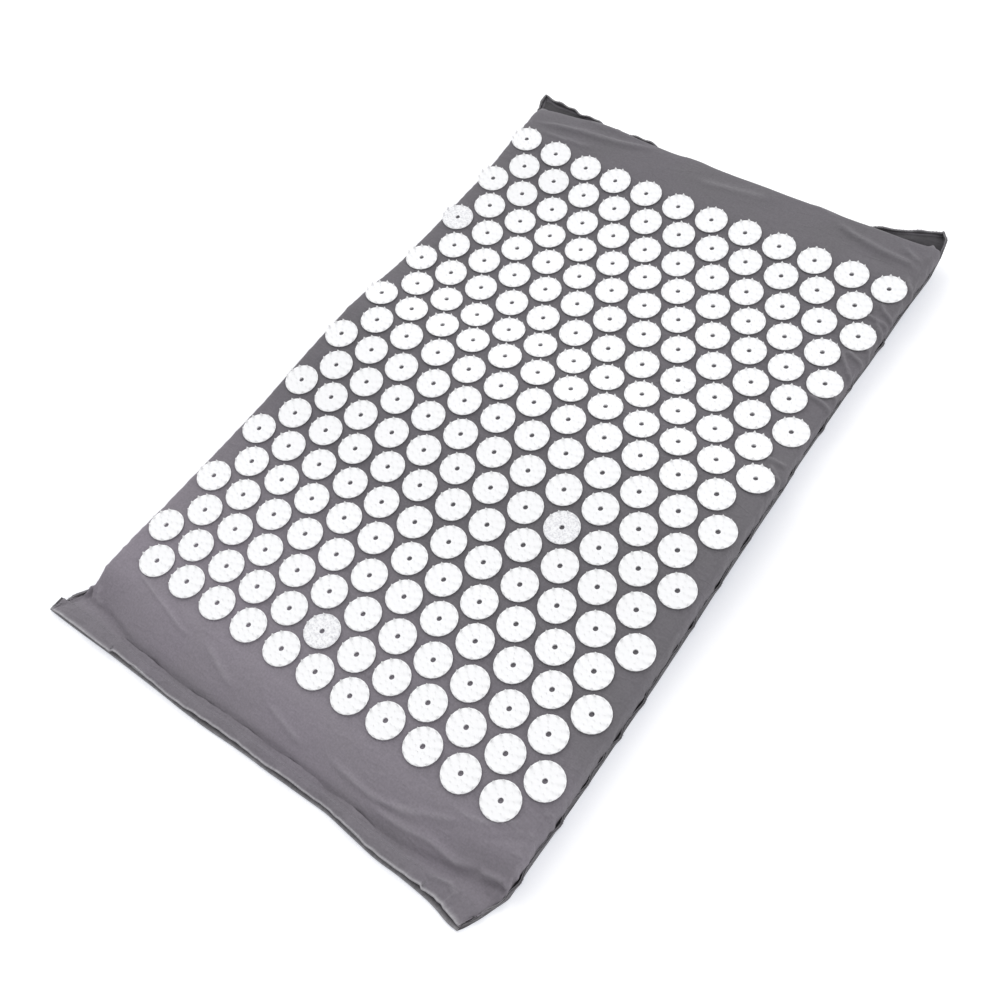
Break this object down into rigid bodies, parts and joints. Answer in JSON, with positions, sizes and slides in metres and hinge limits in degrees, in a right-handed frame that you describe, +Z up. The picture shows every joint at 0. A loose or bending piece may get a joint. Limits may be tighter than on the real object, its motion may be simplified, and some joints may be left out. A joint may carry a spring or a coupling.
{
  "type": "acupressure mat",
  "caption": "Flat padded mat: a cotton sleeve over a foam slab, its upper face set with rows of round spiked plastic rosettes, and a hook-and-loop mouth at one end.",
  "frame": {"origin": "centre of the underside's box, on the surface that the mat lies on", "axes": "+X across the mat, +Y from the mouth to the closed end, +Z up"},
  "size_m": [0.4372, 0.6906, 0.0356],
  "materials": {
    "cotton": "plain-weave mid grey cotton, matt with a faint sheen",
    "hook_and_loop_tape": "matt nylon tape",
    "foam": "open-cell foam",
    "rosette_plastic": "moulded white plastic, semi-matt"
  },
  "bodies": {
    "mat": {"bottom_panel": "cotton", "top_panel": "cotton", "foam_pad": "foam", "hook_patch_left": "hook_and_loop_tape", "hook_patch_right": "hook_and_loop_tape", "rosette_17_01": "rosette_plastic", "rosette_17_02": "rosette_plastic", "rosette_17_03": "rosette_plastic", "rosette_17_04": "rosette_plastic", "rosette_17_05": "rosette_plastic", "rosette_17_06": "rosette_plastic", "rosette_17_07": "rosette_plastic", "rosette_17_08": "rosette_plastic", "rosette_17_09": "rosette_plastic", "rosette_17_10": "rosette_plastic", "rosette_17_11": "rosette_plastic", "rosette_17_12": "rosette_plastic", "rosette_18_01": "rosette_plastic", "rosette_18_02": "rosette_plastic", "rosette_18_03": "rosette_plastic", "rosette_18_04": "rosette_plastic", "rosette_18_05": "rosette_plastic", "rosette_18_06": "rosette_plastic", "rosette_18_07": "rosette_plastic", "rosette_18_08": "rosette_plastic", "rosette_18_09": "rosette_plastic", "rosette_18_10": "rosette_plastic", "rosette_18_11": "rosette_plastic", "rosette_19_01": "rosette_plastic", "rosette_19_02": "rosette_plastic", "rosette_19_03": "rosette_plastic", "rosette_19_04": "rosette_plastic", "rosette_19_05": "rosette_plastic", "rosette_19_06": "rosette_plastic", "rosette_19_07": "rosette_plastic", "rosette_19_08": "rosette_plastic", "rosette_19_09": "rosette_plastic", "rosette_19_10": "rosette_plastic", "rosette_19_11": "rosette_plastic", "rosette_19_12": "rosette_plastic", "rosette_20_01": "rosette_plastic", "rosette_20_02": "rosette_plastic", "rosette_20_03": "rosette_plastic", "rosette_20_04": "rosette_plastic", "rosette_20_05": "rosette_plastic", "rosette_20_06": "rosette_plastic", "rosette_20_07": "rosette_plastic", "rosette_20_08": "rosette_plastic", "rosette_20_09": "rosette_plastic", "rosette_20_10": "rosette_plastic", "rosette_20_11": "rosette_plastic"},
    "flap": {"mouth_flap": "cotton", "loop_patch_left": "hook_and_loop_tape", "loop_patch_right": "hook_and_loop_tape"}
  },
  "joints": [
    {"name": "mouth_flap_hinge", "type": "hinge", "parent": "mat", "child": "flap", "pos_m": [0.0095, -0.3248, 0.0057], "axis": [-1, 0, 0], "range_deg": [0, 120]}
  ]
}
